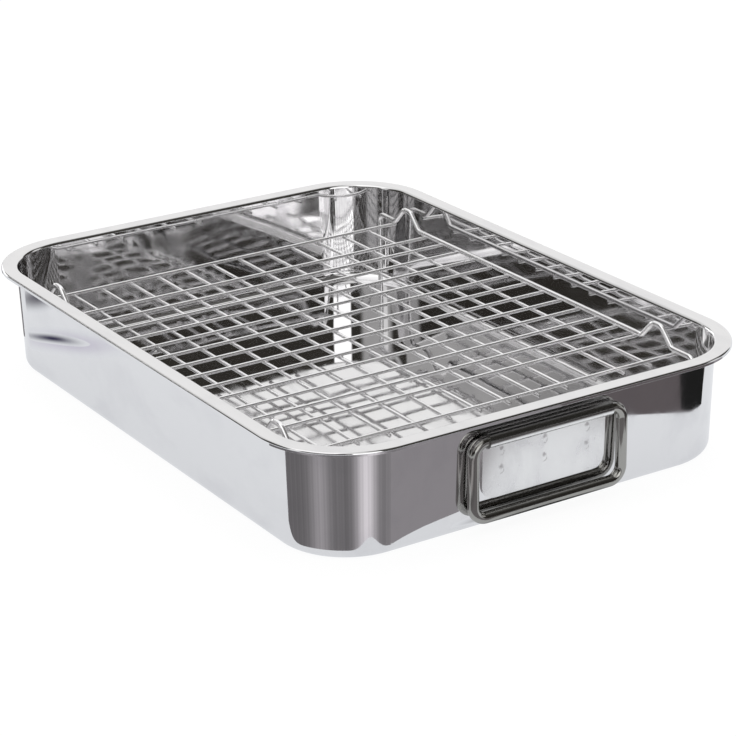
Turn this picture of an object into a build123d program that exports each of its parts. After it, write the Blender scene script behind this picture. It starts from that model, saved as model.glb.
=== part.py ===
from build123d import *
from math import cos, radians, sin, tan
import os

# Roasting pan with a wire rack. Millimetres, +X along the pan's length, +Z up.
# The origin is in the middle of the underside, on the surface that the pan stands on.

# Pan, drawn from one sheet; bend radii are those of the middle of the sheet
pan_length = 380.0
pan_width = 282.0
pan_height = 62.0
pan_sheet = 0.8
rim_corner_radius = 50.0
rim_width = 9.5
rim_bend = 1.6
lip_depth = 2.4
lip_bend = 0.9
wall_lean = 1.7
floor_bend = 5.6

# Handle, a closed loop of rod that hangs from its top bar
handle_rod_radius = 3.0
handle_width = 92.0
handle_bend = 7.5
handle_ground_gap = 5.4

# Handle bracket, a spot-welded plate whose top edge is rolled round the bar
bracket_sheet = 1.0
bracket_rim_gap = 7.6
bracket_bend_gap = 0.5
bracket_ground_gap = 15.6
bracket_corner = 8.0
bracket_curl = 300.0
bar_clearance = 0.08
weld_radius = 1.7
weld_depth = 0.15
weld_columns = 3
weld_rows = 2
weld_side_gap = 11.5
weld_row_pitch = 10.0
weld_top_drop = 10.0

# Rack: two bent rails that stand on the pan's floor, and a grid of straight wires
rail_radius = 1.5
rail_wall_gap = 8.7
leg_wall_gap = 23.7
leg_bend = 5.0
foot_edge = 0.5
hump_leg_gap = 31.5
hump_rim_gap = 3.5
hump_rise = 9.8
hump_foot_width = 26.0
hump_top_width = 7.0
hump_foot_bend = 4.0
hump_top_bend = 5.0
wire_radius = 1.0
wire_edge = 0.25
cross_wire_count = 13
cross_wire_hump_gap = 5.8
end_wire_hump_gap = 2.0
long_wire_count = 12
long_wire_rail_gap = 17.75
long_wire_overhang = 1.5

# Places worked out from the sizes above
lean = radians(wall_lean)
corner_x = pan_length / 2 - rim_corner_radius
corner_y = pan_width / 2 - rim_corner_radius
rim_reach = rim_corner_radius - pan_sheet / 2
wall_top_reach = rim_corner_radius - rim_width + pan_sheet / 2
wall_foot_reach = wall_top_reach - (pan_height - pan_sheet) * tan(lean)
floor_reach = wall_foot_reach - pan_sheet / 2 / cos(lean)
pin_standoff = bracket_sheet + bar_clearance + handle_rod_radius
handle_axis_height = pan_height - pan_sheet - bracket_rim_gap - pin_standoff
wall_x_at_bar = (
    corner_x
    + wall_foot_reach
    + (handle_axis_height + pin_standoff * sin(lean) - pan_sheet / 2) * tan(lean)
    + pan_sheet / 2 / cos(lean)
)
handle_axis_x = wall_x_at_bar + pin_standoff * cos(lean)
handle_low_height = handle_ground_gap + handle_rod_radius
bracket_top_height = handle_axis_height + pin_standoff * sin(lean)
bracket_drop = (bracket_top_height - bracket_ground_gap) / cos(lean)
bracket_width = handle_width - 2 * (handle_bend + bracket_bend_gap)
weld_column_pitch = (bracket_width - 2 * weld_side_gap) / (weld_columns - 1)
rail_y = corner_y + floor_reach - rail_wall_gap - rail_radius
leg_x = corner_x + floor_reach - leg_wall_gap - rail_radius
hump_x = leg_x - hump_leg_gap
hump_height = pan_height - hump_rim_gap - rail_radius
rail_height = hump_height - hump_rise
cross_wire_reach = hump_x - hump_foot_width / 2 - cross_wire_hump_gap
cross_wire_pitch = 2 * cross_wire_reach / (cross_wire_count - 1)
cross_wire_height = rail_height - rail_radius - wire_radius
end_wire_x = hump_x + hump_foot_width / 2 + end_wire_hump_gap
long_wire_pitch = 2 * (rail_y - long_wire_rail_gap) / (long_wire_count - 1)
long_wire_height = cross_wire_height - 2 * wire_radius


def bent_rod(points, bends, radius):
    """Round rod along a line of points whose corners are rounded by the bends."""
    with BuildPart() as rod:
        with BuildLine() as route:
            FilletPolyline(*points, radius=bends)
        with BuildSketch(Plane(route.line @ 0, z_dir=route.line % 0)):
            Circle(radius)
        sweep(path=route.line)
    return rod.part


def straight_wire(plane, half_length):
    """Straight wire centred on a plane and square to it, with its cut ends broken."""
    with BuildPart() as wire:
        with BuildSketch(plane):
            Circle(wire_radius)
        extrude(amount=half_length, both=True)
        chamfer(wire.edges().filter_by(GeomType.CIRCLE), wire_edge)
    return wire.part


def save(piece, name):
    """Label a finished piece and write it under its own name."""
    piece.label = name
    export_step(piece, f"parts/{name}.step")


os.makedirs("parts", exist_ok=True)

# Pan body: one quarter from the sheet's section, then mirrored twice. The section runs
# from a corner's axis out over the floor, wall, rim and lip.
end_plane = Plane(origin=(corner_x, corner_y, 0), x_dir=(1, 0, 0), z_dir=(0, -1, 0))
side_plane = Plane(origin=(corner_x, corner_y, 0), x_dir=(0, 1, 0), z_dir=(1, 0, 0))
with BuildSketch() as sheet_section:
    with BuildLine():
        FilletPolyline(
            (0, pan_sheet / 2),
            (wall_foot_reach, pan_sheet / 2),
            (wall_top_reach, pan_height - pan_sheet / 2),
            (rim_reach, pan_height - pan_sheet / 2),
            (rim_reach, pan_height - lip_depth),
            radius=[floor_bend, rim_bend, lip_bend],
        )
    trace(line_width=pan_sheet)
with BuildPart() as pan_body:
    with BuildSketch(end_plane):
        add(sheet_section.sketch_local)
    revolve(axis=Axis((corner_x, corner_y, 0), (0, 0, 1)), revolution_arc=90)
    with BuildSketch(end_plane):
        add(sheet_section.sketch_local)
    extrude(amount=corner_y)
    with BuildSketch(side_plane):
        add(sheet_section.sketch_local)
    extrude(amount=-corner_x)
    with BuildSketch():
        Rectangle(corner_x, corner_y, align=Align.MIN)
    extrude(amount=pan_sheet)
    mirror(about=Plane.XZ)
    mirror(about=Plane.YZ)
save(pan_body.part, "pan_body")

# Handle brackets: the plate's section with its rolled top, then the corners and weld marks
section_plane = Plane(
    origin=(wall_x_at_bar, 0, bracket_top_height),
    x_dir=(cos(lean), 0, -sin(lean)),
    z_dir=(0, -1, 0),
)
weld_plane = Plane(
    origin=section_plane.from_local_coords((bracket_sheet, 0, 0)),
    x_dir=(0, 1, 0),
    z_dir=section_plane.x_dir,
)
curl_radius = pin_standoff - bracket_sheet / 2
with BuildPart() as handle_bracket:
    with BuildSketch(section_plane):
        with BuildLine():
            Line((bracket_sheet / 2, -bracket_drop), (bracket_sheet / 2, 0))
            CenterArc((pin_standoff, 0), curl_radius, 180, -bracket_curl)
        trace(line_width=bracket_sheet)
    extrude(amount=bracket_width / 2, both=True)
    plate_edges = handle_bracket.edges().filter_by(Axis((0, 0, 0), section_plane.x_dir))
    fillet(plate_edges.group_by(Axis.Z)[0], bracket_corner)
    with BuildSketch(weld_plane):
        with Locations((0, -weld_top_drop - (weld_rows - 1) * weld_row_pitch / 2)):
            with GridLocations(weld_column_pitch, weld_row_pitch, weld_columns, weld_rows):
                Circle(weld_radius)
    extrude(amount=-weld_depth, mode=Mode.SUBTRACT)
save(handle_bracket.part, "handle_bracket_right")
save(mirror(handle_bracket.part, about=Plane.YZ), "handle_bracket_left")

# Handles: half of the loop, mirrored to close it
handle_points = [
    (handle_axis_x, 0, handle_low_height),
    (handle_axis_x, handle_width / 2, handle_low_height),
    (handle_axis_x, handle_width / 2, handle_axis_height),
    (handle_axis_x, 0, handle_axis_height),
]
with BuildPart() as handle:
    add(bent_rod(handle_points, handle_bend, handle_rod_radius))
    mirror(about=Plane.XZ)
save(handle.part, "handle_right")
save(mirror(handle.part, about=Plane.YZ), "handle_left")

# Rack rails: half of a rail from its middle over the hump to the foot, then mirrored
rail_points = [
    (0, rail_y, rail_height),
    (hump_x - hump_foot_width / 2, rail_y, rail_height),
    (hump_x - hump_top_width / 2, rail_y, hump_height),
    (hump_x + hump_top_width / 2, rail_y, hump_height),
    (hump_x + hump_foot_width / 2, rail_y, rail_height),
    (leg_x, rail_y, rail_height),
    (leg_x, rail_y, pan_sheet),
]
rail_bends = [hump_foot_bend, hump_top_bend, hump_top_bend, hump_foot_bend, leg_bend]
with BuildPart() as rack_rail:
    add(bent_rod(rail_points, rail_bends, rail_radius))
    fillet(rack_rail.edges().group_by(Axis.Z)[0], foot_edge)
    mirror(about=Plane.YZ)
save(rack_rail.part, "rack_rail_back")
save(mirror(rack_rail.part, about=Plane.XZ), "rack_rail_front")

# Rack grid: cross wires welded under the rails, and long wires under the cross wires
for number in range(cross_wire_count):
    x = (number - (cross_wire_count - 1) / 2) * cross_wire_pitch
    middle = Plane(origin=(x, 0, cross_wire_height), z_dir=(0, 1, 0))
    save(straight_wire(middle, rail_y + rail_radius), f"rack_cross_wire_{number + 1:02d}")
for end, side in (("left", -1), ("right", 1)):
    middle = Plane(origin=(side * end_wire_x, 0, cross_wire_height), z_dir=(0, 1, 0))
    save(straight_wire(middle, rail_y + rail_radius), f"rack_end_wire_{end}")
long_wire_half = end_wire_x + wire_radius + long_wire_overhang
for number in range(long_wire_count):
    y = (number - (long_wire_count - 1) / 2) * long_wire_pitch
    middle = Plane(origin=(0, y, long_wire_height), z_dir=(1, 0, 0))
    save(straight_wire(middle, long_wire_half), f"rack_long_wire_{number + 1:02d}")
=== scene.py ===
import bpy
import numpy as np
from mathutils import Matrix, Vector


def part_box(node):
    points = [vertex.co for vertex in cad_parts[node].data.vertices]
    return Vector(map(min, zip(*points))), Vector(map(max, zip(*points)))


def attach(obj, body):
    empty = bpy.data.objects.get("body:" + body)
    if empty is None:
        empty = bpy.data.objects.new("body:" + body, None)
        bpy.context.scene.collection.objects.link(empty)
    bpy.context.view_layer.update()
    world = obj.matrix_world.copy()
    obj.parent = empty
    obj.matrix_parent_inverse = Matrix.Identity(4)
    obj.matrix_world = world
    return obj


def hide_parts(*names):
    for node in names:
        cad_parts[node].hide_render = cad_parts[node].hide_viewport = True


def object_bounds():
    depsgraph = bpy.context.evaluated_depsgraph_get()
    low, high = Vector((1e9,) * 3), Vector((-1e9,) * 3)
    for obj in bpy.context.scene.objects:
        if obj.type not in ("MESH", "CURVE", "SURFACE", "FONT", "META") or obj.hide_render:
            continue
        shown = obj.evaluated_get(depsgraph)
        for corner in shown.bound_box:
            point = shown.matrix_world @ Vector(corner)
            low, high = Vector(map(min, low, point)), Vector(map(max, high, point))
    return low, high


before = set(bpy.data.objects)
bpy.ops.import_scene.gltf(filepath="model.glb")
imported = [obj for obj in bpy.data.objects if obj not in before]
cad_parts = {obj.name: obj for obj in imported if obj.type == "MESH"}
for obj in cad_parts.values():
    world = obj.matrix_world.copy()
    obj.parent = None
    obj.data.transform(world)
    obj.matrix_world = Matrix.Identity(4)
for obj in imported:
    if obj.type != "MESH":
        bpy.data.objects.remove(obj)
cad_low, cad_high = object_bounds()
scene = bpy.context.scene

# Sizes of the pan and its rack, in millimetres
MM = 0.001
pan_length, pan_width, pan_height = ((cad_high - cad_low) / MM)[:]
pan_sheet = 0.8
rim_corner_radius = 50.0
rim_width = 9.5
rim_bend = 1.6
lip_depth = 2.4
lip_bend = 0.9
lip_edge_round = 0.15
wall_lean = np.radians(1.7)
floor_bend = 5.6
corner_x = pan_length / 2 - rim_corner_radius
corner_y = pan_width / 2 - rim_corner_radius

handle_rod_radius = 3.0
handle_bend = 7.5

rail_radius = 1.5
leg_bend = 5.0
foot_edge = 0.5
hump_foot_bend = 4.0
hump_top_bend = 5.0
hump_foot_width = 26.0
hump_top_width = 7.0
hump_leg_gap = 31.5
hump_rise = 9.8
bead_reach = 1.45
bead_height = 0.55

# Places on the bracket's plate: its weld marks, and the start of its rolled top, above which a
# painted shade darkens the plate
weld_sides = (-26.5, 0.0, 26.5)
weld_heights = (41.8, 31.8)
roll_shade_start = 48.2
roll_shade_full = 49.6


# Shapes

def rounded_line(points, bends, steps):
    """Points and left-hand normals along a flat line whose corners are rounded.

    A corner of turn t and bend r is replaced by an arc whose centre lies r to the
    inner side of both runs. The arc starts r times tan(t/2) before the corner, and its
    normals turn evenly from one run's normal to the next run's.
    """
    points = np.asarray(points, float)
    runs = np.diff(points, axis=0)
    runs /= np.linalg.norm(runs, axis=1)[:, None]
    normals = np.stack([-runs[:, 1], runs[:, 0]], 1)
    places, sides = [points[:1]], [normals[:1]]
    for corner, bend, before, after, side in zip(
        points[1:-1], bends, runs[:-1], runs[1:], normals[:-1]
    ):
        turn = np.arctan2(before[0] * after[1] - before[1] * after[0], before @ after)
        hand = np.sign(turn)
        start = corner - before * bend * np.tan(abs(turn) / 2)
        centre = start + side * bend * hand
        angles = np.linspace(0, turn, steps)
        cosines, sines = np.cos(angles), np.sin(angles)
        turned = np.stack(
            [side[0] * cosines - side[1] * sines, side[0] * sines + side[1] * cosines], 1
        )
        places.append(centre - turned * bend * hand)
        sides.append(turned)
    places.append(points[-1:])
    sides.append(normals[-1:])
    return np.concatenate(places), np.concatenate(sides)


def grid_faces(rows, columns, close_rows=False, close_columns=False):
    """Corner numbers of the squares of a grid of points, row by row."""
    i = np.arange(rows if close_rows else rows - 1)
    j = np.arange(columns if close_columns else columns - 1)
    i, j = np.meshgrid(i, j, indexing="ij")
    below, beside = (i + 1) % rows, (j + 1) % columns
    here, onward = i * columns, below * columns
    corners = [here + j, here + beside, onward + beside, onward + j]
    return np.stack(corners, -1).reshape(-1, 4)


def facing_out(points, faces):
    """The faces of a closed surface, all turned round if they enclose less than nothing.

    The volume is a sixth of the sum, over the fans of triangles that make up the faces,
    of each first corner's dot product with the cross product of the other two.
    """
    fans = [(face[0], face[k], face[k + 1]) for face in faces for k in range(1, len(face) - 1)]
    first, second, third = (points[corner] for corner in np.array(fans).T)
    volume = np.einsum("ij,ij->", first, np.cross(second, third)) / 6
    return [face[::-1] for face in faces] if volume < 0 else faces


def make_piece(name, points, faces, normals=None, uv=None):
    """Mesh object at the origin from points in millimetres; uv is one pair a point."""
    points = np.asarray(points, float)
    faces = facing_out(points, [tuple(face) for face in faces])
    mesh = bpy.data.meshes.new(name)
    mesh.from_pydata(points * MM, [], faces)
    mesh.polygons.foreach_set("use_smooth", np.ones(len(mesh.polygons), bool))
    if uv is not None:
        corner = np.zeros(len(mesh.loops), int)
        mesh.loops.foreach_get("vertex_index", corner)
        layer = mesh.uv_layers.new(name="along_and_round")
        layer.uv.foreach_set("vector", np.asarray(uv, float)[corner].ravel())
    mesh.validate()
    if normals is not None:
        mesh.normals_split_custom_set_from_vertices(np.asarray(normals, float))
    piece = bpy.data.objects.new(name, mesh)
    scene.collection.objects.link(piece)
    return piece


def rim_outline(arc_steps, long_steps, short_steps):
    """Corner centres and outward directions round the pan, anticlockwise from +X.

    A point of the outline is its corner's centre plus its reach times the outward
    direction. Along a corner the direction turns, and along a side the centre moves.
    """
    centres, directions = [], []
    signs = ((1, 1), (-1, 1), (-1, -1), (1, -1))
    for quarter, (sign_x, sign_y) in enumerate(signs):
        centre = np.array([sign_x * corner_x, sign_y * corner_y])
        angle = np.radians(90) * (quarter + np.linspace(0, 1, arc_steps + 1))
        centres.append(np.repeat(centre[None], len(angle), 0))
        directions.append(np.stack([np.cos(angle), np.sin(angle)], 1))
        next_x, next_y = signs[(quarter + 1) % 4]
        steps = long_steps if quarter % 2 == 0 else short_steps
        share = np.linspace(0, 1, steps + 1)[1:-1, None]
        goal = np.array([next_x * corner_x, next_y * corner_y])
        centres.append(centre * (1 - share) + goal * share)
        directions.append(np.repeat(directions[-1][-1:], len(share), 0))
    return np.concatenate(centres), np.concatenate(directions)


def pan_shell():
    """The pan's sheet: its section carried round the rim's outline.

    The section's middle line runs from the floor up the leaning wall and over the rim
    and lip. Each face lies half the sheet's thickness to one side of it. A point is its
    corner's centre plus the section's reach along the outward direction.
    """
    half = pan_sheet / 2
    wall_top = rim_corner_radius - rim_width + half
    wall_foot = wall_top - (pan_height - pan_sheet) * np.tan(wall_lean)
    reach_end = rim_corner_radius - half
    line = [
        (0, half), (wall_foot, half), (wall_top, pan_height - half),
        (reach_end, pan_height - half), (reach_end, pan_height - lip_depth),
    ]
    places, sides = rounded_line(line, (floor_bend, rim_bend, lip_bend), steps=14)
    sections = []
    for hand in (1, -1):
        face = places + sides * half * hand
        sections.append((face[:-1], sides[:-1] * hand))
    end, end_side = places[-1], sides[-1]
    inner, outer = sections

    # The lip's lower edge is rounded off on both faces
    edge_angles = np.radians(np.linspace(0, 90, 5))
    edge = []
    for hand, angles in ((1, edge_angles), (-1, edge_angles[::-1])):
        centre = end + np.array([0, lip_edge_round]) + end_side * (half - lip_edge_round) * hand
        out = np.stack([end_side[0] * hand * np.cos(angles), -np.sin(angles)], 1)
        edge.append((centre + out * lip_edge_round, out))
    section = np.concatenate([inner[0], edge[0][0], edge[1][0], outer[0][::-1]])
    facing = np.concatenate([inner[1], edge[0][1], edge[1][1], outer[1][::-1]])

    centres, directions = rim_outline(arc_steps=40, long_steps=48, short_steps=36)
    rows, columns = len(section), len(centres)
    flat = centres[None] + section[:, None, :1] * directions[None]
    height = np.broadcast_to(section[:, None, 1:], (rows, columns, 1))
    points = np.concatenate([flat, height], 2).reshape(-1, 3)
    level = np.broadcast_to(facing[:, None, 1:], (rows, columns, 1))
    normals = np.concatenate([facing[:, None, :1] * directions[None], level], 2).reshape(-1, 3)
    faces = [tuple(face) for face in grid_faces(rows, columns, close_columns=True)]

    # The floor's middle is a rectangle between the corner centres, above and below
    faces.append(tuple(range(columns))[::-1])
    faces.append(tuple(range((rows - 1) * columns, rows * columns)))
    lengths = np.r_[0, np.cumsum(np.linalg.norm(np.diff(section, axis=0), axis=1))]
    outline = centres + directions * rim_corner_radius
    around = np.r_[0, np.cumsum(np.linalg.norm(np.diff(outline, axis=0), axis=1))]
    uv = np.stack(np.broadcast_arrays(around[None], lengths[:, None]), -1).reshape(-1, 2) * MM
    return make_piece("pan_shell", points, faces, normals, uv)


def rod(name, line, bends, radius, plane_x, origin, closed, steps, round_steps, end_round=0):
    """Round rod along a rounded line that lies in a plane.

    plane_x and the world's Z span the plane. A ring's point is the line's point plus
    the radius times the cosine of its angle along the line's normal, plus the radius
    times the sine along the plane's normal. An open rod ends in discs whose rims are
    rounded off by end_round.
    """
    places, sides = rounded_line(line, bends, steps)
    if closed:
        places, sides = places[:-1], sides[:-1]
    plane_x = np.asarray(plane_x, float)
    upward = np.array([0, 0, 1.0])
    across = np.cross(plane_x, upward)
    lengths = np.r_[0, np.cumsum(np.linalg.norm(np.diff(places, axis=0), axis=1))]
    radii = np.full(len(places), radius)
    tilt = np.zeros(len(places))
    if not closed:
        runs = [places[0] - places[1], places[-1] - places[-2]]
        runs = [run / np.linalg.norm(run) for run in runs]
        cap_rings = 6
        angles = np.radians(np.linspace(0, 90, cap_rings))
        caps = []
        for end, side, run in zip((places[0], places[-1]), (sides[0], sides[-1]), runs):
            middle = end - run * end_round
            cap_places = middle + np.outer(np.sin(angles) * end_round, run)
            cap_radii = radius - end_round + np.cos(angles) * end_round
            caps.append((cap_places, np.repeat(side[None], cap_rings, 0), cap_radii, angles))
        first, last = caps
        places = np.concatenate([first[0][::-1], places[1:-1], last[0]])
        sides = np.concatenate([first[1][::-1], sides[1:-1], last[1]])
        radii = np.r_[first[2][::-1], radii[1:-1], last[2]]
        tilt = np.r_[-first[3][::-1], tilt[1:-1], last[3]]
        lengths = np.r_[0, np.cumsum(np.linalg.norm(np.diff(places, axis=0), axis=1))]
    angle = np.radians(360) * np.arange(round_steps) / round_steps
    inward = sides[:, :1] * plane_x + sides[:, 1:] * upward
    centre = np.asarray(origin, float) + places[:, :1] * plane_x + places[:, 1:] * upward
    out = inward[:, None] * np.cos(angle)[None, :, None] + across * np.sin(angle)[None, :, None]
    points = centre[:, None] + out * radii[:, None, None]
    onward = np.cross(across, inward)
    normals = out * np.cos(tilt)[:, None, None] + onward[:, None] * np.sin(tilt)[:, None, None]
    rows, columns = len(places), round_steps
    faces = [tuple(face) for face in grid_faces(rows, columns, closed, True)]
    if not closed:
        faces.append(tuple(range(columns))[::-1])
        faces.append(tuple(range((rows - 1) * columns, rows * columns)))
    uv = np.stack(np.broadcast_arrays(lengths[:, None], (angle * radius)[None]), -1)
    uv = uv.reshape(-1, 2) * MM
    return make_piece(name, points.reshape(-1, 3), faces, normals.reshape(-1, 3), uv)


def centre_of(solid):
    """Middle of a CAD node's box, in millimetres."""
    low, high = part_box(solid)
    return np.array((low + high) / 2 / MM)


def handle_loop(side):
    """The handle's rod on one side: a rectangle with rounded corners, closed on itself."""
    solid = f"handle_{side}"
    low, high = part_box(solid)
    half_width = (high.y - low.y) / MM / 2 - handle_rod_radius
    half_drop = (high.z - low.z) / MM / 2 - handle_rod_radius
    line = [
        (0, -half_drop), (half_width, -half_drop), (half_width, half_drop),
        (-half_width, half_drop), (-half_width, -half_drop), (0, -half_drop),
    ]
    piece = rod(
        f"handle_rod_{side}", line, [handle_bend] * 4, handle_rod_radius, plane_x=(0, 1, 0),
        origin=centre_of(solid), closed=True, steps=24, round_steps=56,
    )
    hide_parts(solid)
    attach(piece, f"handle_{side}")
    return piece


def rack_rail(side):
    """A rack rail: up one leg, along with a hump near each end, and down the other leg."""
    solid = f"rack_rail_{side}"
    low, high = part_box(solid)
    leg_x = (high.x - low.x) / MM / 2 - rail_radius
    foot = low.z / MM
    top = high.z / MM - rail_radius
    level = top - hump_rise
    hump_x = leg_x - hump_leg_gap
    half = [
        (leg_x, foot), (leg_x, level), (hump_x + hump_foot_width / 2, level),
        (hump_x + hump_top_width / 2, top), (hump_x - hump_top_width / 2, top),
        (hump_x - hump_foot_width / 2, level),
    ]
    line = half + [(-x, z) for x, z in half[::-1]]
    bends = [leg_bend, hump_foot_bend, hump_top_bend, hump_top_bend, hump_foot_bend]
    piece = rod(
        f"rail_rod_{side}", line, bends + bends[::-1], rail_radius, plane_x=(1, 0, 0),
        origin=(0, centre_of(solid)[1], 0), closed=False, steps=14, round_steps=32,
        end_round=foot_edge,
    )
    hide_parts(solid)
    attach(piece, "rack")
    return piece


def weld_beads(name, places):
    """Small pressed beads where wires cross: flattened balls, one for each place.

    A bead's point is its place plus the reach times the cosine of the latitude along
    the compass direction, and the height times the sine of the latitude upwards.
    """
    turns, tiers = 10, 5
    compass = np.radians(360) * np.arange(turns) / turns
    latitude = np.radians(np.linspace(-90, 90, tiers + 2))[1:-1]
    ring = np.stack([np.cos(compass), np.sin(compass), np.zeros(turns)], 1)
    ball = ring[None] * np.cos(latitude)[:, None, None] * bead_reach
    ball = ball + np.array([0, 0, 1.0]) * np.sin(latitude)[:, None, None] * bead_height
    poles = np.array([[0, 0, -bead_height], [0, 0, bead_height]])
    ball = np.concatenate([ball.reshape(-1, 3), poles])
    count = len(ball)
    south, north = count - 2, count - 1
    quads = grid_faces(tiers, turns, False, True)
    start = np.arange(turns)
    beside = (start + 1) % turns
    last = (tiers - 1) * turns
    lower = np.stack([beside, start, np.full(turns, south)], 1)
    upper = np.stack([last + start, last + beside, np.full(turns, north)], 1)
    points = (np.asarray(places)[:, None] + ball[None]).reshape(-1, 3)
    shift = (np.arange(len(places)) * count)[:, None, None]
    faces = []
    for group in (quads, lower, upper):
        faces += (group[None] + shift).reshape(-1, group.shape[1]).tolist()
    piece = make_piece(name, points, faces)
    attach(piece, "rack")
    return piece


# Finishes

def link(tree, source, target):
    tree.links.new(source, target)


def node(tree, kind, **values):
    """A node with its properties and its inputs' plain values set."""
    made = tree.nodes.new(kind)
    for key, value in values.items():
        if hasattr(made, key):
            setattr(made, key, value)
        else:
            made.inputs[key.replace("_", " ")].default_value = value
    return made


def maths(tree, operation, first, second=None, third=None, clamp=False):
    made = tree.nodes.new("ShaderNodeMath")
    made.operation = operation
    made.use_clamp = clamp
    for socket, value in zip(made.inputs, (first, second, third)):
        if value is None:
            continue
        if isinstance(value, (int, float)):
            socket.default_value = value
        else:
            link(tree, value, socket)
    return made.outputs[0]


def spread(tree, value, low, high, to_low=0.0, to_high=1.0):
    """The value's range from low to high carried to another range, with soft ends."""
    made = tree.nodes.new("ShaderNodeMapRange")
    made.interpolation_type = "SMOOTHSTEP"
    link(tree, value, made.inputs["Value"])
    for key, number in (
        ("From Min", low), ("From Max", high), ("To Min", to_low), ("To Max", to_high)
    ):
        made.inputs[key].default_value = number
    return made.outputs["Result"]


def new_group(name, inputs, outputs):
    group = bpy.data.node_groups.new(name, "ShaderNodeTree")
    for label, kind, value in inputs:
        socket = group.interface.new_socket(label, in_out="INPUT", socket_type=kind)
        if value is not None:
            socket.default_value = value
    for label, kind in outputs:
        group.interface.new_socket(label, in_out="OUTPUT", socket_type=kind)
    return group, group.nodes.new("NodeGroupInput"), group.nodes.new("NodeGroupOutput")


FLOAT, VECTOR = "NodeSocketFloat", "NodeSocketVector"


def sheet_waves_group():
    """Slow unevenness of polished sheet, which bends what it reflects."""
    group, given, result = new_group(
        "sheet_waves",
        [("Place", VECTOR, None), ("Wave Size", FLOAT, 30.0), ("Warp", FLOAT, 0.6)],
        [("Height", FLOAT)],
    )
    warp = node(group, "ShaderNodeTexNoise", Scale=14.0, Detail=1.0)
    link(group, given.outputs["Place"], warp.inputs["Vector"])
    centred = node(group, "ShaderNodeVectorMath", operation="SUBTRACT")
    link(group, warp.outputs["Color"], centred.inputs[0])
    centred.inputs[1].default_value = (0.5, 0.5, 0.5)
    scaled = node(group, "ShaderNodeVectorMath", operation="SCALE")
    link(group, centred.outputs[0], scaled.inputs[0])
    small = maths(group, "MULTIPLY", given.outputs["Warp"], 0.05)
    link(group, small, scaled.inputs["Scale"])
    moved = node(group, "ShaderNodeVectorMath", operation="ADD")
    link(group, given.outputs["Place"], moved.inputs[0])
    link(group, scaled.outputs[0], moved.inputs[1])
    slow = node(group, "ShaderNodeTexNoise", Detail=0.6, Roughness=0.4)
    link(group, moved.outputs[0], slow.inputs["Vector"])
    link(group, given.outputs["Wave Size"], slow.inputs["Scale"])
    link(group, slow.outputs["Fac"], result.inputs["Height"])
    return group


def polish_marks_group():
    """Hair-fine scratches in several directions, wiped smears and small dull spots."""
    group, given, result = new_group(
        "polish_marks",
        [("Place", VECTOR, None), ("Scratch Density", FLOAT, 0.5), ("Smear Size", FLOAT, 22.0)],
        [("Scratches", FLOAT), ("Smears", FLOAT), ("Specks", FLOAT)],
    )
    total = None
    for turn, stretch, size in (
        ((0.3, 0.2, 0.5), (1.0, 26.0, 12.0), 190.0),
        ((1.2, 0.9, 1.4), (22.0, 1.0, 16.0), 160.0),
        ((0.7, 1.9, 2.6), (14.0, 20.0, 1.0), 210.0),
    ):
        turned = node(group, "ShaderNodeMapping")
        link(group, given.outputs["Place"], turned.inputs["Vector"])
        turned.inputs["Rotation"].default_value = turn
        turned.inputs["Scale"].default_value = stretch
        hairs = node(group, "ShaderNodeTexNoise", Scale=size, Detail=2.0, Roughness=0.7)
        link(group, turned.outputs[0], hairs.inputs["Vector"])
        thin = spread(group, hairs.outputs["Fac"], 0.66, 0.74)
        total = thin if total is None else maths(group, "MAXIMUM", total, thin)
    marks = maths(group, "MULTIPLY", total, given.outputs["Scratch Density"])
    link(group, marks, result.inputs["Scratches"])
    smear_place = node(group, "ShaderNodeMapping")
    smear_place.inputs["Rotation"].default_value = (0.2, 0.4, 0.9)
    smear_place.inputs["Scale"].default_value = (1.0, 2.6, 1.7)
    link(group, given.outputs["Place"], smear_place.inputs["Vector"])
    smears = node(group, "ShaderNodeTexNoise", Detail=3.0, Roughness=0.5, Distortion=0.3)
    link(group, smear_place.outputs[0], smears.inputs["Vector"])
    link(group, given.outputs["Smear Size"], smears.inputs["Scale"])
    link(group, spread(group, smears.outputs["Fac"], 0.42, 0.72), result.inputs["Smears"])
    specks = node(group, "ShaderNodeTexNoise", Scale=300.0, Detail=1.0)
    link(group, given.outputs["Place"], specks.inputs["Vector"])
    link(group, spread(group, specks.outputs["Fac"], 0.70, 0.76), result.inputs["Specks"])
    return group


sheet_waves = sheet_waves_group()
polish_marks = polish_marks_group()


def rolled_top_painted_shade(tree, place):
    """Mask of the painted shade on the bracket's rolled top, darkening it from where its roll
    starts upwards.
    """
    parts = node(tree, "ShaderNodeSeparateXYZ")
    link(tree, place, parts.inputs[0])
    return spread(tree, parts.outputs[2], roll_shade_start * MM, roll_shade_full * MM)


def weld_tint(tree, place):
    """Mask of the heat tint round the weld marks, strongest in the middle of each."""
    full, faded, strength, raggedness = 1.6 * MM, 3.0 * MM, 0.55, 2.4 * MM
    uneven = node(tree, "ShaderNodeTexNoise", Scale=700.0, Detail=2.0)
    link(tree, place, uneven.inputs["Vector"])
    total = None
    for side, height in [(y, z) for y in weld_sides for z in weld_heights]:
        apart = node(tree, "ShaderNodeVectorMath", operation="SUBTRACT")
        link(tree, place, apart.inputs[0])
        apart.inputs[1].default_value = (0, side * MM, height * MM)
        flat = node(tree, "ShaderNodeVectorMath", operation="MULTIPLY")
        link(tree, apart.outputs[0], flat.inputs[0])
        flat.inputs[1].default_value = (0, 1, 1)
        length = node(tree, "ShaderNodeVectorMath", operation="LENGTH")
        link(tree, flat.outputs[0], length.inputs[0])
        ragged = maths(
            tree, "MULTIPLY_ADD", uneven.outputs["Fac"], raggedness, length.outputs["Value"]
        )
        spot = spread(tree, ragged, full, faded, strength, 0.0)
        total = spot if total is None else maths(tree, "MAXIMUM", total, spot)
    return total


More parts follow.
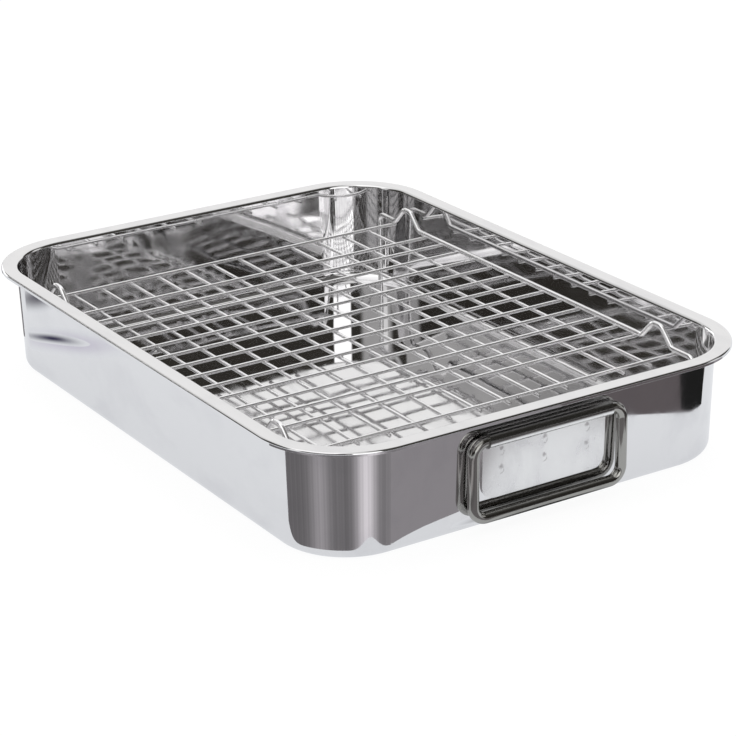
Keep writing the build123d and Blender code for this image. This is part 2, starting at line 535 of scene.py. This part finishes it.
def steel(name, light, dark, gloss, dull, wave_depth, wave_size, metallic=1.0, shades=()):
    """Polished stainless steel: clear where it is clean, duller under smears.

    Smears carry the colour from light to dark and the roughness from gloss to dull.
    Each of the shades is a mask and the colour that it lays over the steel.
    """
    scratch_depth, scratch_roughness, speck_roughness = 0.0002 * MM, 0.10, 0.03
    made = bpy.data.materials.new(name)
    made.use_nodes = True
    tree = made.node_tree
    tree.nodes.clear()
    output = node(tree, "ShaderNodeOutputMaterial")
    shader = node(tree, "ShaderNodeBsdfPrincipled", Metallic=metallic)
    link(tree, shader.outputs[0], output.inputs["Surface"])
    places = node(tree, "ShaderNodeTexCoord")
    marks = node(tree, "ShaderNodeGroup", node_tree=polish_marks)
    link(tree, places.outputs["Object"], marks.inputs["Place"])
    waves = node(tree, "ShaderNodeGroup", node_tree=sheet_waves)
    link(tree, places.outputs["Object"], waves.inputs["Place"])
    waves.inputs["Wave Size"].default_value = wave_size
    colour = node(tree, "ShaderNodeMix", data_type="RGBA")
    link(tree, marks.outputs["Smears"], colour.inputs["Factor"])
    colour.inputs[6].default_value = (*light, 1)
    colour.inputs[7].default_value = (*dark, 1)
    paint = colour.outputs[2]
    for mask, shade in shades:
        darker = node(tree, "ShaderNodeMix", data_type="RGBA")
        link(tree, paint, darker.inputs[6])
        darker.inputs[7].default_value = (*shade, 1)
        link(tree, mask(tree, places.outputs["Object"]), darker.inputs["Factor"])
        paint = darker.outputs[2]
    link(tree, paint, shader.inputs["Base Color"])
    rough = maths(tree, "MULTIPLY_ADD", marks.outputs["Smears"], dull - gloss, gloss)
    rough = maths(tree, "MULTIPLY_ADD", marks.outputs["Scratches"], scratch_roughness, rough)
    rough = maths(
        tree, "MULTIPLY_ADD", marks.outputs["Specks"], speck_roughness, rough, clamp=True
    )
    link(tree, rough, shader.inputs["Roughness"])
    height = maths(tree, "MULTIPLY", waves.outputs["Height"], wave_depth)
    scratch = maths(tree, "MULTIPLY", marks.outputs["Scratches"], -scratch_depth)
    height = maths(tree, "ADD", height, scratch)
    bump = node(tree, "ShaderNodeBump", Strength=1.0, Distance=1.0)
    link(tree, height, bump.inputs["Height"])
    link(tree, bump.outputs[0], shader.inputs["Normal"])
    return made


pan_steel = steel(
    "pan_polished_steel", light=(0.80, 0.795, 0.80), dark=(0.75, 0.745, 0.755),
    gloss=0.03, dull=0.085, wave_depth=0.4 * MM, wave_size=16.0,
)
handle_steel = steel(
    "handle_polished_rod", light=(0.36, 0.355, 0.335), dark=(0.30, 0.295, 0.28),
    gloss=0.10, dull=0.19, wave_depth=0.05 * MM, wave_size=60.0,
)
# The bracket's rolled top is darkened by a painted shade; its weld marks carry a heat tint
bracket_steel = steel(
    "bracket_polished_plate", light=(0.84, 0.835, 0.83), dark=(0.79, 0.785, 0.79),
    gloss=0.22, dull=0.30, wave_depth=0.06 * MM, wave_size=30.0,
    shades=((rolled_top_painted_shade, (0.24, 0.235, 0.225)), (weld_tint, (0.20, 0.18, 0.18))),
)
rack_steel = steel(
    "rack_bright_wire", light=(0.95, 0.945, 0.955), dark=(0.86, 0.855, 0.86),
    gloss=0.17, dull=0.30, wave_depth=0.02 * MM, wave_size=120.0, metallic=0.88,
)


def dress(piece, material):
    """The one finish of a piece."""
    piece.data.materials.clear()
    piece.data.materials.append(material)


# The object
shell = pan_shell()
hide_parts("pan_body")
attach(shell, "pan")
dress(shell, pan_steel)

for side in ("right", "left"):
    dress(handle_loop(side), handle_steel)
    dress(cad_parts[f"handle_bracket_{side}"], bracket_steel)
for side in ("front", "back"):
    dress(rack_rail(side), rack_steel)

wire_names = [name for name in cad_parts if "_wire_" in name]
for name in wire_names:
    dress(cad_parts[name], rack_steel)
cross_wires = [centre_of(name) for name in sorted(wire_names) if "_long_" not in name]
long_wires = [centre_of(name) for name in sorted(wire_names) if "_long_" in name]
rail_lines = [centre_of(f"rack_rail_{side}") for side in ("front", "back")]
wire_low, wire_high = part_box("rack_long_wire_01")
wire_radius = (wire_high.z - wire_low.z) / MM / 2

# A bead of metal lies between the wires of each crossing
bead_places = [
    (cross[0], long[1], (cross[2] + long[2]) / 2)
    for cross in cross_wires for long in long_wires
]
bead_places += [
    (cross[0], rail[1], cross[2] + wire_radius)
    for cross in cross_wires for rail in rail_lines
]
dress(weld_beads("rack_weld_beads", bead_places), rack_steel)


# Studio: a white floor, a white sky with soft lights for reflections, and the boards on
# the floor that the steel mirrors

FLOOR_SEEN = (1.04, 1.04, 1.04)
FLOOR_MIRRORED = (0.835, 0.855, 0.885)
SHADOW_SHARE = 0.12


def studio_floor():
    """White floor that shows the object's soft shadow, and a cooler white when mirrored."""
    reach, level = 6.0, -0.2 * MM
    mesh = bpy.data.meshes.new("studio_floor")
    corners = [(-reach, -reach), (reach, -reach), (reach, reach), (-reach, reach)]
    mesh.from_pydata([(x, y, level) for x, y in corners], [], [(0, 1, 2, 3)])
    floor = bpy.data.objects.new("studio_floor", mesh)
    scene.collection.objects.link(floor)
    made = bpy.data.materials.new("studio_floor_white")
    made.use_nodes = True
    tree = made.node_tree
    tree.nodes.clear()
    output = node(tree, "ShaderNodeOutputMaterial")
    paint = node(tree, "ShaderNodeBsdfDiffuse", Color=(0.9, 0.9, 0.9, 1))
    glow = node(tree, "ShaderNodeEmission", Strength=1.0)
    path = node(tree, "ShaderNodeLightPath")
    white = node(tree, "ShaderNodeMix", data_type="RGBA")
    white.inputs[6].default_value = (*FLOOR_MIRRORED, 1)
    white.inputs[7].default_value = (*FLOOR_SEEN, 1)
    link(tree, path.outputs["Is Camera Ray"], white.inputs["Factor"])
    link(tree, white.outputs[2], glow.inputs["Color"])
    mix = node(tree, "ShaderNodeMixShader")
    mix.inputs[0].default_value = SHADOW_SHARE
    link(tree, glow.outputs[0], mix.inputs[1])
    link(tree, paint.outputs[0], mix.inputs[2])
    link(tree, mix.outputs[0], output.inputs["Surface"])
    floor.data.materials.append(made)


def shade_points(mesh, colours):
    """Store a colour for each point of a board's mesh."""
    layer = mesh.color_attributes.new("shade", "FLOAT_COLOR", "POINT")
    solid = np.ones((len(colours), 1))
    layer.data.foreach_set("color", np.concatenate([colours, solid], 1).ravel())


def mirror_only(board, name, grey=(1, 1, 1), attribute=None):
    """Put a glowing board in the studio so that only reflections show it."""
    scene.collection.objects.link(board)
    board.visible_camera = False
    board.visible_diffuse = False
    board.visible_shadow = False
    board.visible_transmission = False
    made = bpy.data.materials.new(name)
    made.use_nodes = True
    tree = made.node_tree
    tree.nodes.clear()
    output = node(tree, "ShaderNodeOutputMaterial")
    glow = node(tree, "ShaderNodeEmission", Color=(*grey, 1), Strength=1.0)
    if attribute:
        shade = node(tree, "ShaderNodeVertexColor", layer_name=attribute)
        link(tree, shade.outputs["Color"], glow.inputs["Color"])
    link(tree, glow.outputs[0], output.inputs["Surface"])
    board.data.materials.append(made)


def dark_board(name, outline, grey, height):
    """A flat board just above the floor that only the steel's reflections show."""
    mesh = bpy.data.meshes.new(name)
    points = [(x * MM, y * MM, height * MM) for x, y in outline]
    mesh.from_pydata(points, [], [tuple(range(len(points)))])
    mirror_only(bpy.data.objects.new(name, mesh), name, grey)


def soft_spot(name, centre, radii, turn, grey, height, core=0.0):
    """A shade on the floor that fades into the floor's white towards its oval edge.

    Rings of points lie at growing shares of the two radii. Outside the core, the shade
    goes from the spot's grey to the floor's white with the smooth step 3 s^2 - 2 s^3,
    where s is the share of the way from the core to the edge.
    """
    rings, steps = 16, 48
    share = np.linspace(0.02, 1, rings)
    angle = np.radians(360) * np.arange(steps) / steps
    tilt = np.radians(turn)
    along = np.outer(share, np.cos(angle)) * radii[0]
    across = np.outer(share, np.sin(angle)) * radii[1]
    x = centre[0] + along * np.cos(tilt) - across * np.sin(tilt)
    y = centre[1] + along * np.sin(tilt) + across * np.cos(tilt)
    points = np.stack([x, y, np.full_like(x, height)], -1).reshape(-1, 3)
    faces = [tuple(face) for face in grid_faces(rings, steps, False, True)]
    faces.append(tuple(range(steps)))
    mesh = bpy.data.meshes.new(name)
    mesh.from_pydata(points * MM, [], faces)
    way = np.clip((share - core) / (1 - core), 0, 1)
    fade = (3 * way ** 2 - 2 * way ** 3)[:, None, None]
    tones = np.array(grey) * (1 - fade) + np.array(FLOOR_MIRRORED) * fade
    shade_points(mesh, np.broadcast_to(tones, (rings, steps, 3)).reshape(-1, 3))
    mirror_only(bpy.data.objects.new(name, mesh), name, attribute="shade")


def corner_fan(name):
    """Soft grey strips on the floor that the pan's near corner mirrors as upright bands.

    Every strip leaves the corner's foot along the line that the camera sees mirrored
    there: that line turns twice as fast as the corner. It starts a little way out, and
    further out at the corner's middle and at its front end, by a bell curve and by an
    exponential. The shade of the fan is a base grey that rises in an S towards the end
    wall, plus a bell curve for each light strip, over the corner's angle. The product of
    two sines streaks it.
    """
    first_turn, view_turn, strip_length, height = -79, 32.4, 170.0, 0.75
    light_strips = ((-51.5, 7.5, 0.20), (-18.5, 7.0, 0.62), (-37.0, 3.0, 0.03))
    tint = np.array([1.0, 0.955, 1.0])
    turns = np.linspace(first_turn, 0, 160)
    reach = rim_corner_radius - rim_width - 1.0
    start = 9.0 + 12.0 * np.exp(-((turns + 16) / 7.0) ** 2)
    start = start + 22.0 * np.exp(-(turns - first_turn) / 3.0)
    shade = 0.155 + 0.13 / (1 + np.exp(-(turns + 4) / 2.5))
    for middle, width, gain in light_strips:
        shade = shade + gain * np.exp(-((turns - middle) / width) ** 2)
    shade = shade * (1 + 0.09 * np.sin(turns * 2.3) * np.sin(turns * 0.71 + 1.0))
    angle = np.radians(turns)
    foot = np.stack([corner_x + reach * np.cos(angle), -corner_y + reach * np.sin(angle)], 1)
    run_angle = 2 * angle + np.radians(view_turn)
    run = np.stack([np.cos(run_angle), np.sin(run_angle)], 1)
    lengths = np.linspace(0, 1, 12)[:, None, None]
    rows = foot[None] + run[None] * (start[None, :, None] + lengths * strip_length)
    level = np.full(rows.shape[:2] + (1,), height)
    points = np.concatenate([rows, level], 2).reshape(-1, 3)
    mesh = bpy.data.meshes.new(name)
    faces = [tuple(face) for face in grid_faces(len(lengths), len(turns))]
    mesh.from_pydata(points * MM, [], faces)
    shade_points(mesh, np.broadcast_to(shade[None], rows.shape[:2]).reshape(-1, 1) * tint)
    mirror_only(bpy.data.objects.new(name, mesh), name, attribute="shade")


def studio_sky():
    """White round the camera's view; for reflections, a dark room with soft lights."""
    world = bpy.data.worlds.new("studio_sky")
    scene.world = world
    world.use_nodes = True
    tree = world.node_tree
    tree.nodes.clear()
    output = node(tree, "ShaderNodeOutputWorld")
    direction = node(tree, "ShaderNodeTexCoord")
    parts = node(tree, "ShaderNodeSeparateXYZ")
    link(tree, direction.outputs["Generated"], parts.inputs[0])
    x, y, z = parts.outputs
    turn = maths(tree, "ARCTAN2", y, x)
    rise = maths(tree, "ARCSINE", z)

    def band(value, low, high, soft, level=1.0):
        """The level between two angles, falling to nothing over the soft edges."""
        low, high, soft = np.radians([low, high, soft])
        up = spread(tree, value, low - soft, low + soft, 0.0, level)
        down = spread(tree, value, high - soft, high + soft, 1.0, 0.0)
        return maths(tree, "MULTIPLY", up, down)

    def climb(low, high, below, above):
        """One level below a rise, another above a higher rise, and a soft way between."""
        low, high = np.radians([low, high])
        return spread(tree, rise, low, high, below, above)

    # The turn jumps from 180 to -180 at -X, so a light there is made of two bands
    far = maths(tree, "MAXIMUM", band(turn, -183, -157, 1.5), band(turn, 170, 183, 2))
    far_wide = maths(tree, "MAXIMUM", band(turn, -184, -152, 4), band(turn, 160, 184, 4))

    # Each light is a band of compass turns and its level, which may change with the rise
    # above the horizon. Angles are in degrees, and the turns count from +X towards +Y.
    lights = {
        "overhead": (
            climb(34, 54, 0, 1),
            maths(tree, "MULTIPLY_ADD", band(turn, 8, 80, 10), -0.86, 0.95),
        ),
        "backdrop": (band(turn, 104, 176, 3), 0.92),
        "strip": (band(turn, -25, 8, 1.5), climb(26.5, 29, 1.6, 0.65)),
        "strip_low": (band(turn, -32.8, -20, 0.6), band(rise, 12.3, 15.4, 0.4, 2.3)),
        "side": (band(turn, -98, -84, 3), 0.9),
        "side_high": (band(turn, -105, -46, 6), climb(20.5, 22, 0, 0.42)),
        "side_overhead": (band(turn, -125, -40, 6), climb(36, 44, 0, 1.3)),
        "far": (far, climb(18.7, 19.5, 1.5, 0)),
        "far_high": (far_wide, climb(26, 30, 0, 0.75)),
        "far_ledge": (band(turn, -158, -148.4, 0.5), band(rise, 15.4, 18, 0.5, 2.1)),
        "far_side_high": (band(turn, -158, -143, 3), climb(20.5, 22.5, 0, 0.42)),
        "corner": (band(turn, 57, 76, 4), climb(23, 27, 0.7, 0)),
    }
    brightest = None
    for mask, level in lights.values():
        light = maths(tree, "MULTIPLY", mask, level)
        brightest = light if brightest is None else maths(tree, "MAXIMUM", brightest, light)
    room = node(tree, "ShaderNodeMix", data_type="RGBA", blend_type="ADD")
    room.inputs["Factor"].default_value = 1.0
    room.inputs[6].default_value = (0.040, 0.037, 0.032, 1)
    link(tree, brightest, room.inputs[7])
    mirrored = node(tree, "ShaderNodeBackground", Strength=1.0)
    link(tree, room.outputs[2], mirrored.inputs["Color"])
    plain = node(tree, "ShaderNodeBackground", Color=(1, 1, 1, 1), Strength=1.0)
    path = node(tree, "ShaderNodeLightPath")
    mix = node(tree, "ShaderNodeMixShader")
    link(tree, path.outputs["Is Glossy Ray"], mix.inputs[0])
    link(tree, plain.outputs[0], mix.inputs[1])
    link(tree, mirrored.outputs[0], mix.inputs[2])
    link(tree, mix.outputs[0], output.inputs["Surface"])


studio_floor()
studio_sky()

# Boards and soft spots on the floor round the pan, in millimetres, seen only in the steel
near_end = [
    (188, -85), (191, -76), (193, -69), (195, -61), (197, -50), (199, -38), (202, -28),
    (236, 6), (252, 24), (268, 45), (275, 75), (245, 105), (230, 137), (206, 165),
    (194, 190), (188, 260), (900, 900), (900, -100), (400, -90), (230, -78),
]
beyond_handle = [
    (246, 104), (231, 137), (222, 152), (240, 240), (600, 420), (600, 180), (300, 90),
    (262, 96),
]
near_black = [
    (234, 136), (282, 175), (262, 225), (197, 240), (190, 176), (210, 160), (224, 146),
]
far_end = [
    (-90, 260), (-130, 152), (-150, 146), (-180, 136), (-196, 112), (-198, 60), (-204, 12),
    (-205, -60), (-200, -128), (-900, -128), (-900, 900),
]
dark_board("mirror_board_right", near_end, (0.29, 0.275, 0.29), height=0.6)
dark_board("mirror_board_beyond", beyond_handle, (0.125, 0.11, 0.115), height=0.7)
dark_board("mirror_board_corner", near_black, (0.015, 0.015, 0.015), height=0.9)
dark_board("mirror_board_left", far_end, (0.20, 0.19, 0.20), height=0.6)
soft_spot(
    "mirror_spot_haze", centre=(-168, -167), radii=(46, 18), turn=-27,
    grey=(0.62, 0.59, 0.70), height=0.7,
)
soft_spot(
    "mirror_spot_stroke", centre=(-179, -162), radii=(28, 7), turn=-27,
    grey=(0.03, 0.025, 0.07), height=0.9,
)
soft_spot(
    "mirror_spot_rim", centre=(-247, -185), radii=(26, 18), turn=20,
    grey=(0.12, 0.115, 0.14), height=0.8,
)
# Painted shadow under the handle's bottom bar: a dark soft spot on the floor that only the
# steel mirrors
soft_spot(
    "mirror_painted_shadow_handle", centre=(185, 2), radii=(54, 9), turn=90,
    grey=(0.05, 0.05, 0.045), height=0.9, core=0.35,
)
corner_fan("mirror_fan_near")

lamp_data = bpy.data.lights.new("overhead_softbox", "AREA")
lamp_data.shape = "DISK"
lamp_data.size = 1.2
lamp_data.energy = 6.0
lamp = bpy.data.objects.new("overhead_softbox", lamp_data)
lamp.location = (-0.3, 0.3, 1.6)
lamp.rotation_euler = (Vector((0, 0, 0)) - lamp.location).to_track_quat("-Z", "Y").to_euler()
lamp.visible_glossy = False
scene.collection.objects.link(lamp)


# Camera

def photo_camera():
    """Camera at the photograph's angle, turned about the view line by its small roll."""
    turn, rise, roll = np.radians([57.596, 21.573, -0.975])
    distance, aim_height = 1374.01, 31.0
    slide_right, slide_up = -9.803, 10.804
    back = np.array(
        [np.sin(turn) * np.cos(rise), -np.cos(turn) * np.cos(rise), np.sin(rise)]
    )
    level = np.array([np.cos(turn), np.sin(turn), 0])
    upright = np.cross(back, level)
    right = np.cos(roll) * level + np.sin(roll) * upright
    up = -np.sin(roll) * level + np.cos(roll) * upright
    aim = np.array([0, 0, aim_height])
    place = -slide_right * right - slide_up * up + distance * back + aim
    data = bpy.data.cameras.new("photo_camera")
    data.sensor_width = 36.0
    data.lens = 120.2
    data.clip_end = 50.0
    camera = bpy.data.objects.new("photo_camera", data)
    scene.collection.objects.link(camera)
    turned = Matrix((right, up, back)).transposed().to_4x4()
    camera.matrix_world = Matrix.Translation(Vector(place * MM)) @ turned
    scene.camera = camera


photo_camera()
scene.view_settings.view_transform = "Standard"
